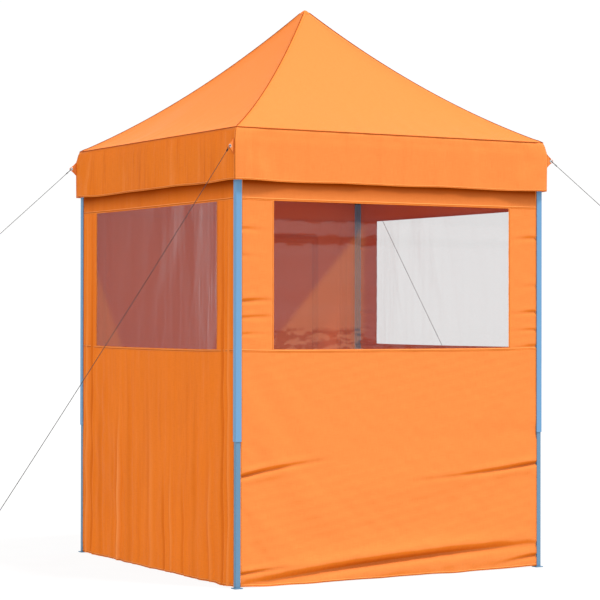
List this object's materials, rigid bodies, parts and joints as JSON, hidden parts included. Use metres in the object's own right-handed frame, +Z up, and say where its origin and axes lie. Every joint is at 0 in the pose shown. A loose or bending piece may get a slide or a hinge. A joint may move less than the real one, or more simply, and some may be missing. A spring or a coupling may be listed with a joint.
{
  "type": "pop-up shelter",
  "caption": "Pop-up shelter with a folding scissor frame on telescoping legs, a peaked cloth roof with valance, window walls, a zipped door wall and guy ropes.",
  "frame": {"origin": "on the ground, at the middle of the floor between the four posts", "axes": "+Z up, the front wall faces -Y, +X is to the right seen from the front"},
  "size_m": [6.2498, 4.5164, 3.151],
  "materials": {
    "orange_cloth": "coated polyester weave",
    "clear_film": "clear flexible film",
    "rope": "braided cord",
    "bare_steel": "zinc plated",
    "dark_nylon": "moulded nylon",
    "blue_steel": "powder coat"
  },
  "bodies": {
    "shelter": {"upper_hub": "dark_nylon", "canopy": "orange_cloth", "window_walls": "orange_cloth", "window_panes": "clear_film", "guy_ropes": "rope", "ground_pegs": "bare_steel", "eyelets": "bare_steel"},
    "lower_hub": {"lower_hub": "dark_nylon", "mast": "blue_steel"},
    "hub_bar_front": {"hub_bar_front": "blue_steel"},
    "mast_bar_front": {"mast_bar_front": "blue_steel"},
    "upper_joint_front": {"upper_joint_front": "dark_nylon"},
    "lower_joint_front": {"lower_joint_front": "dark_nylon"},
    "hub_bar_right": {"hub_bar_right": "blue_steel"},
    "mast_bar_right": {"mast_bar_right": "blue_steel"},
    "upper_joint_right": {"upper_joint_right": "dark_nylon"},
    "lower_joint_right": {"lower_joint_right": "dark_nylon"},
    "hub_bar_back": {"hub_bar_back": "blue_steel"},
    "mast_bar_back": {"mast_bar_back": "blue_steel"},
    "upper_joint_back": {"upper_joint_back": "dark_nylon", "door_wall": "orange_cloth"},
    "lower_joint_back": {"lower_joint_back": "dark_nylon"},
    "hub_bar_left": {"hub_bar_left": "blue_steel"},
    "mast_bar_left": {"mast_bar_left": "blue_steel"},
    "upper_joint_left": {"upper_joint_left": "dark_nylon"},
    "lower_joint_left": {"lower_joint_left": "dark_nylon"},
    "slider_bar_front_left": {"slider_bar_front_left": "blue_steel"},
    "leg_bar_front_left": {"leg_bar_front_left": "blue_steel"},
    "slider_bar_front_right": {"slider_bar_front_right": "blue_steel"},
    "leg_bar_front_right": {"leg_bar_front_right": "blue_steel"},
    "slider_bar_right_front": {"slider_bar_right_front": "blue_steel"},
    "leg_bar_right_front": {"leg_bar_right_front": "blue_steel"},
    "slider_bar_right_back": {"slider_bar_right_back": "blue_steel"},
    "leg_bar_right_back": {"leg_bar_right_back": "blue_steel"},
    "slider_bar_back_right": {"slider_bar_back_right": "blue_steel"},
    "leg_bar_back_right": {"leg_bar_back_right": "blue_steel"},
    "slider_bar_back_left": {"slider_bar_back_left": "blue_steel"},
    "leg_bar_back_left": {"leg_bar_back_left": "blue_steel"},
    "slider_bar_left_back": {"slider_bar_left_back": "blue_steel"},
    "leg_bar_left_back": {"leg_bar_left_back": "blue_steel"},
    "slider_bar_left_front": {"slider_bar_left_front": "blue_steel"},
    "leg_bar_left_front": {"leg_bar_left_front": "blue_steel"},
    "leg_tube_front_left": {"leg_tube_front_left": "blue_steel"},
    "slider_front_left": {"slider_front_left": "dark_nylon"},
    "inner_leg_front_left": {"inner_leg_front_left": "blue_steel"},
    "leg_knob_front_left": {"leg_knob_front_left": "dark_nylon"},
    "leg_tube_front_right": {"leg_tube_front_right": "blue_steel"},
    "slider_front_right": {"slider_front_right": "dark_nylon"},
    "inner_leg_front_right": {"inner_leg_front_right": "blue_steel"},
    "leg_knob_front_right": {"leg_knob_front_right": "dark_nylon"},
    "leg_tube_back_right": {"leg_tube_back_right": "blue_steel"},
    "slider_back_right": {"slider_back_right": "dark_nylon"},
    "inner_leg_back_right": {"inner_leg_back_right": "blue_steel"},
    "leg_knob_back_right": {"leg_knob_back_right": "dark_nylon"},
    "leg_tube_back_left": {"leg_tube_back_left": "blue_steel"},
    "slider_back_left": {"slider_back_left": "dark_nylon"},
    "inner_leg_back_left": {"inner_leg_back_left": "blue_steel"},
    "leg_knob_back_left": {"leg_knob_back_left": "dark_nylon"},
    "door_flap": {"door_flap": "orange_cloth"},
    "zipper_pull": {"zipper_pull": "bare_steel"}
  },
  "joints": [
    {"name": "frame_fold", "type": "hinge", "parent": "shelter", "child": "hub_bar_front", "pos_m": [0.005, -0.034, 2.3], "axis": [1, 0, 0], "range_deg": [0, 74.5], "deforming": ["canopy", "window_walls", "window_panes", "door_wall", "door_flap", "guy_ropes", "eyelets"]},
    {"name": "mast_bar_front_turn", "type": "hinge", "parent": "hub_bar_front", "child": "mast_bar_front", "pos_m": [0, -0.475, 2.21028], "axis": [1, 0, 0], "range_deg": [-149, 0]},
    {"name": "upper_joint_front_turn", "type": "hinge", "parent": "mast_bar_front", "child": "upper_joint_front", "pos_m": [-0.005, -0.916, 2.3], "axis": [1, 0, 0], "range_deg": [0, 74.5]},
    {"name": "lower_joint_front_turn", "type": "hinge", "parent": "hub_bar_front", "child": "lower_joint_front", "pos_m": [0.005, -0.916, 2.12055], "axis": [1, 0, 0], "range_deg": [-74.5, 0]},
    {"name": "lower_hub_turn", "type": "hinge", "parent": "mast_bar_front", "child": "lower_hub", "pos_m": [-0.005, -0.034, 2.12055], "axis": [1, 0, 0], "range_deg": [0, 74.5]},
    {"name": "slider_bar_front_left_turn", "type": "hinge", "parent": "upper_joint_front", "child": "slider_bar_front_left", "pos_m": [-0.034, -0.939, 2.3], "axis": [0, -1, 0], "range_deg": [0, 74.5]},
    {"name": "leg_bar_front_left_turn", "type": "hinge", "parent": "slider_bar_front_left", "child": "leg_bar_front_left", "pos_m": [-0.475, -0.944, 2.21028], "axis": [0, -1, 0], "range_deg": [-149, 0]},
    {"name": "leg_tube_front_left_turn", "type": "hinge", "parent": "leg_bar_front_left", "child": "leg_tube_front_left", "pos_m": [-0.916, -0.949, 2.3], "axis": [0, -1, 0], "range_deg": [0, 74.5]},
    {"name": "slider_front_left_turn", "type": "hinge", "parent": "slider_bar_front_left", "child": "slider_front_left", "pos_m": [-0.916, -0.939, 2.12055], "axis": [0, -1, 0], "range_deg": [-74.5, 0]},
    {"name": "slider_bar_front_right_turn", "type": "hinge", "parent": "upper_joint_front", "child": "slider_bar_front_right", "pos_m": [0.034, -0.939, 2.3], "axis": [0, 1, 0], "range_deg": [0, 74.5]},
    {"name": "leg_bar_front_right_turn", "type": "hinge", "parent": "slider_bar_front_right", "child": "leg_bar_front_right", "pos_m": [0.475, -0.944, 2.21028], "axis": [0, 1, 0], "range_deg": [-149, 0]},
    {"name": "leg_tube_front_right_turn", "type": "hinge", "parent": "leg_bar_front_right", "child": "leg_tube_front_right", "pos_m": [0.916, -0.949, 2.3], "axis": [0, 1, 0], "range_deg": [0, 74.5]},
    {"name": "slider_front_right_turn", "type": "hinge", "parent": "slider_bar_front_right", "child": "slider_front_right", "pos_m": [0.916, -0.939, 2.12055], "axis": [0, 1, 0], "range_deg": [-74.5, 0]},
    {"name": "hub_bar_right_turn", "type": "hinge", "parent": "shelter", "child": "hub_bar_right", "pos_m": [0.034, 0.005, 2.3], "axis": [0, 1, 0], "range_deg": [0, 74.5]},
    {"name": "mast_bar_right_turn", "type": "hinge", "parent": "hub_bar_right", "child": "mast_bar_right", "pos_m": [0.475, 0, 2.21028], "axis": [0, 1, 0], "range_deg": [-149, 0]},
    {"name": "upper_joint_right_turn", "type": "hinge", "parent": "mast_bar_right", "child": "upper_joint_right", "pos_m": [0.916, -0.005, 2.3], "axis": [0, 1, 0], "range_deg": [0, 74.5]},
    {"name": "lower_joint_right_turn", "type": "hinge", "parent": "hub_bar_right", "child": "lower_joint_right", "pos_m": [0.916, 0.005, 2.12055], "axis": [0, 1, 0], "range_deg": [-74.5, 0]},
    {"name": "slider_bar_right_front_turn", "type": "hinge", "parent": "upper_joint_right", "child": "slider_bar_right_front", "pos_m": [0.939, -0.034, 2.3], "axis": [1, 0, 0], "range_deg": [0, 74.5]},
    {"name": "leg_bar_right_front_turn", "type": "hinge", "parent": "slider_bar_right_front", "child": "leg_bar_right_front", "pos_m": [0.944, -0.475, 2.21028], "axis": [1, 0, 0], "range_deg": [-149, 0]},
    {"name": "slider_bar_right_back_turn", "type": "hinge", "parent": "upper_joint_right", "child": "slider_bar_right_back", "pos_m": [0.939, 0.034, 2.3], "axis": [-1, 0, 0], "range_deg": [0, 74.5]},
    {"name": "leg_bar_right_back_turn", "type": "hinge", "parent": "slider_bar_right_back", "child": "leg_bar_right_back", "pos_m": [0.944, 0.475, 2.21028], "axis": [-1, 0, 0], "range_deg": [-149, 0]},
    {"name": "hub_bar_back_turn", "type": "hinge", "parent": "shelter", "child": "hub_bar_back", "pos_m": [-0.005, 0.034, 2.3], "axis": [-1, 0, 0], "range_deg": [0, 74.5]},
    {"name": "mast_bar_back_turn", "type": "hinge", "parent": "hub_bar_back", "child": "mast_bar_back", "pos_m": [0, 0.475, 2.21028], "axis": [-1, 0, 0], "range_deg": [-149, 0]},
    {"name": "upper_joint_back_turn", "type": "hinge", "parent": "mast_bar_back", "child": "upper_joint_back", "pos_m": [0.005, 0.916, 2.3], "axis": [-1, 0, 0], "range_deg": [0, 74.5]},
    {"name": "lower_joint_back_turn", "type": "hinge", "parent": "hub_bar_back", "child": "lower_joint_back", "pos_m": [-0.005, 0.916, 2.12055], "axis": [-1, 0, 0], "range_deg": [-74.5, 0]},
    {"name": "slider_bar_back_right_turn", "type": "hinge", "parent": "upper_joint_back", "child": "slider_bar_back_right", "pos_m": [0.034, 0.939, 2.3], "axis": [0, 1, 0], "range_deg": [0, 74.5]},
    {"name": "leg_bar_back_right_turn", "type": "hinge", "parent": "slider_bar_back_right", "child": "leg_bar_back_right", "pos_m": [0.475, 0.944, 2.21028], "axis": [0, 1, 0], "range_deg": [-149, 0]},
    {"name": "leg_tube_back_right_turn", "type": "hinge", "parent": "leg_bar_back_right", "child": "leg_tube_back_right", "pos_m": [0.916, 0.949, 2.3], "axis": [0, 1, 0], "range_deg": [0, 74.5]},
    {"name": "slider_back_right_turn", "type": "hinge", "parent": "slider_bar_back_right", "child": "slider_back_right", "pos_m": [0.916, 0.939, 2.12055], "axis": [0, 1, 0], "range_deg": [-74.5, 0]},
    {"name": "slider_bar_back_left_turn", "type": "hinge", "parent": "upper_joint_back", "child": "slider_bar_back_left", "pos_m": [-0.034, 0.939, 2.3], "axis": [0, -1, 0], "range_deg": [0, 74.5]},
    {"name": "leg_bar_back_left_turn", "type": "hinge", "parent": "slider_bar_back_left", "child": "leg_bar_back_left", "pos_m": [-0.475, 0.944, 2.21028], "axis": [0, -1, 0], "range_deg": [-149, 0]},
    {"name": "leg_tube_back_left_turn", "type": "hinge", "parent": "leg_bar_back_left", "child": "leg_tube_back_left", "pos_m": [-0.916, 0.949, 2.3], "axis": [0, -1, 0], "range_deg": [0, 74.5]},
    {"name": "slider_back_left_turn", "type": "hinge", "parent": "slider_bar_back_left", "child": "slider_back_left", "pos_m": [-0.916, 0.939, 2.12055], "axis": [0, -1, 0], "range_deg": [-74.5, 0]},
    {"name": "hub_bar_left_turn", "type": "hinge", "parent": "shelter", "child": "hub_bar_left", "pos_m": [-0.034, -0.005, 2.3], "axis": [0, -1, 0], "range_deg": [0, 74.5]},
    {"name": "mast_bar_left_turn", "type": "hinge", "parent": "hub_bar_left", "child": "mast_bar_left", "pos_m": [-0.475, 0, 2.21028], "axis": [0, -1, 0], "range_deg": [-149, 0]},
    {"name": "upper_joint_left_turn", "type": "hinge", "parent": "mast_bar_left", "child": "upper_joint_left", "pos_m": [-0.916, 0.005, 2.3], "axis": [0, -1, 0], "range_deg": [0, 74.5]},
    {"name": "lower_joint_left_turn", "type": "hinge", "parent": "hub_bar_left", "child": "lower_joint_left", "pos_m": [-0.916, -0.005, 2.12055], "axis": [0, -1, 0], "range_deg": [-74.5, 0]},
    {"name": "slider_bar_left_back_turn", "type": "hinge", "parent": "upper_joint_left", "child": "slider_bar_left_back", "pos_m": [-0.939, 0.034, 2.3], "axis": [-1, 0, 0], "range_deg": [0, 74.5]},
    {"name": "leg_bar_left_back_turn", "type": "hinge", "parent": "slider_bar_left_back", "child": "leg_bar_left_back", "pos_m": [-0.944, 0.475, 2.21028], "axis": [-1, 0, 0], "range_deg": [-149, 0]},
    {"name": "slider_bar_left_front_turn", "type": "hinge", "parent": "upper_joint_left", "child": "slider_bar_left_front", "pos_m": [-0.939, -0.034, 2.3], "axis": [1, 0, 0], "range_deg": [0, 74.5]},
    {"name": "leg_bar_left_front_turn", "type": "hinge", "parent": "slider_bar_left_front", "child": "leg_bar_left_front", "pos_m": [-0.944, -0.475, 2.21028], "axis": [1, 0, 0], "range_deg": [-149, 0]},
    {"name": "leg_slide_front_left", "type": "slide", "parent": "leg_tube_front_left", "child": "inner_leg_front_left", "axis": [0, 0, 1], "range_m": [0, 0.65]},
    {"name": "leg_knob_pull_front_left", "type": "slide", "parent": "leg_tube_front_left", "child": "leg_knob_front_left", "axis": [1, 0, 0], "range_m": [0, 0.005]},
    {"name": "leg_slide_front_right", "type": "slide", "parent": "leg_tube_front_right", "child": "inner_leg_front_right", "axis": [0, 0, 1], "range_m": [0, 0.65]},
    {"name": "leg_knob_pull_front_right", "type": "slide", "parent": "leg_tube_front_right", "child": "leg_knob_front_right", "axis": [1, 0, 0], "range_m": [0, 0.005]},
    {"name": "leg_slide_back_right", "type": "slide", "parent": "leg_tube_back_right", "child": "inner_leg_back_right", "axis": [0, 0, 1], "range_m": [0, 0.65]},
    {"name": "leg_knob_pull_back_right", "type": "slide", "parent": "leg_tube_back_right", "child": "leg_knob_back_right", "axis": [1, 0, 0], "range_m": [0, 0.005]},
    {"name": "leg_slide_back_left", "type": "slide", "parent": "leg_tube_back_left", "child": "inner_leg_back_left", "axis": [0, 0, 1], "range_m": [0, 0.65]},
    {"name": "leg_knob_pull_back_left", "type": "slide", "parent": "leg_tube_back_left", "child": "leg_knob_back_left", "axis": [1, 0, 0], "range_m": [0, 0.005]},
    {"name": "door_swing", "type": "hinge", "parent": "upper_joint_back", "child": "door_flap", "pos_m": [0.004, 0.961, 0.97], "axis": [0, 0, 1], "range_deg": [0, 110]},
    {"name": "zip_slide", "type": "slide", "parent": "upper_joint_back", "child": "zipper_pull", "axis": [0, 0, 1], "range_m": [0, 1.75]}
  ],
  "couplings": [
    {"joint": "mast_bar_front_turn", "follows": "frame_fold", "ratio": -2},
    {"joint": "upper_joint_front_turn", "follows": "frame_fold", "ratio": 1},
    {"joint": "lower_joint_front_turn", "follows": "frame_fold", "ratio": -1},
    {"joint": "lower_hub_turn", "follows": "frame_fold", "ratio": 1},
    {"joint": "slider_bar_front_left_turn", "follows": "frame_fold", "ratio": 1},
    {"joint": "leg_bar_front_left_turn", "follows": "frame_fold", "ratio": -2},
    {"joint": "leg_tube_front_left_turn", "follows": "frame_fold", "ratio": 1},
    {"joint": "slider_front_left_turn", "follows": "frame_fold", "ratio": -1},
    {"joint": "slider_bar_front_right_turn", "follows": "frame_fold", "ratio": 1},
    {"joint": "leg_bar_front_right_turn", "follows": "frame_fold", "ratio": -2},
    {"joint": "leg_tube_front_right_turn", "follows": "frame_fold", "ratio": 1},
    {"joint": "slider_front_right_turn", "follows": "frame_fold", "ratio": -1},
    {"joint": "hub_bar_right_turn", "follows": "frame_fold", "ratio": 1},
    {"joint": "mast_bar_right_turn", "follows": "frame_fold", "ratio": -2},
    {"joint": "upper_joint_right_turn", "follows": "frame_fold", "ratio": 1},
    {"joint": "lower_joint_right_turn", "follows": "frame_fold", "ratio": -1},
    {"joint": "slider_bar_right_front_turn", "follows": "frame_fold", "ratio": 1},
    {"joint": "leg_bar_right_front_turn", "follows": "frame_fold", "ratio": -2},
    {"joint": "slider_bar_right_back_turn", "follows": "frame_fold", "ratio": 1},
    {"joint": "leg_bar_right_back_turn", "follows": "frame_fold", "ratio": -2},
    {"joint": "hub_bar_back_turn", "follows": "frame_fold", "ratio": 1},
    {"joint": "mast_bar_back_turn", "follows": "frame_fold", "ratio": -2},
    {"joint": "upper_joint_back_turn", "follows": "frame_fold", "ratio": 1},
    {"joint": "lower_joint_back_turn", "follows": "frame_fold", "ratio": -1},
    {"joint": "slider_bar_back_right_turn", "follows": "frame_fold", "ratio": 1},
    {"joint": "leg_bar_back_right_turn", "follows": "frame_fold", "ratio": -2},
    {"joint": "leg_tube_back_right_turn", "follows": "frame_fold", "ratio": 1},
    {"joint": "slider_back_right_turn", "follows": "frame_fold", "ratio": -1},
    {"joint": "slider_bar_back_left_turn", "follows": "frame_fold", "ratio": 1},
    {"joint": "leg_bar_back_left_turn", "follows": "frame_fold", "ratio": -2},
    {"joint": "leg_tube_back_left_turn", "follows": "frame_fold", "ratio": 1},
    {"joint": "slider_back_left_turn", "follows": "frame_fold", "ratio": -1},
    {"joint": "hub_bar_left_turn", "follows": "frame_fold", "ratio": 1},
    {"joint": "mast_bar_left_turn", "follows": "frame_fold", "ratio": -2},
    {"joint": "upper_joint_left_turn", "follows": "frame_fold", "ratio": 1},
    {"joint": "lower_joint_left_turn", "follows": "frame_fold", "ratio": -1},
    {"joint": "slider_bar_left_back_turn", "follows": "frame_fold", "ratio": 1},
    {"joint": "leg_bar_left_back_turn", "follows": "frame_fold", "ratio": -2},
    {"joint": "slider_bar_left_front_turn", "follows": "frame_fold", "ratio": 1},
    {"joint": "leg_bar_left_front_turn", "follows": "frame_fold", "ratio": -2}
  ]
}
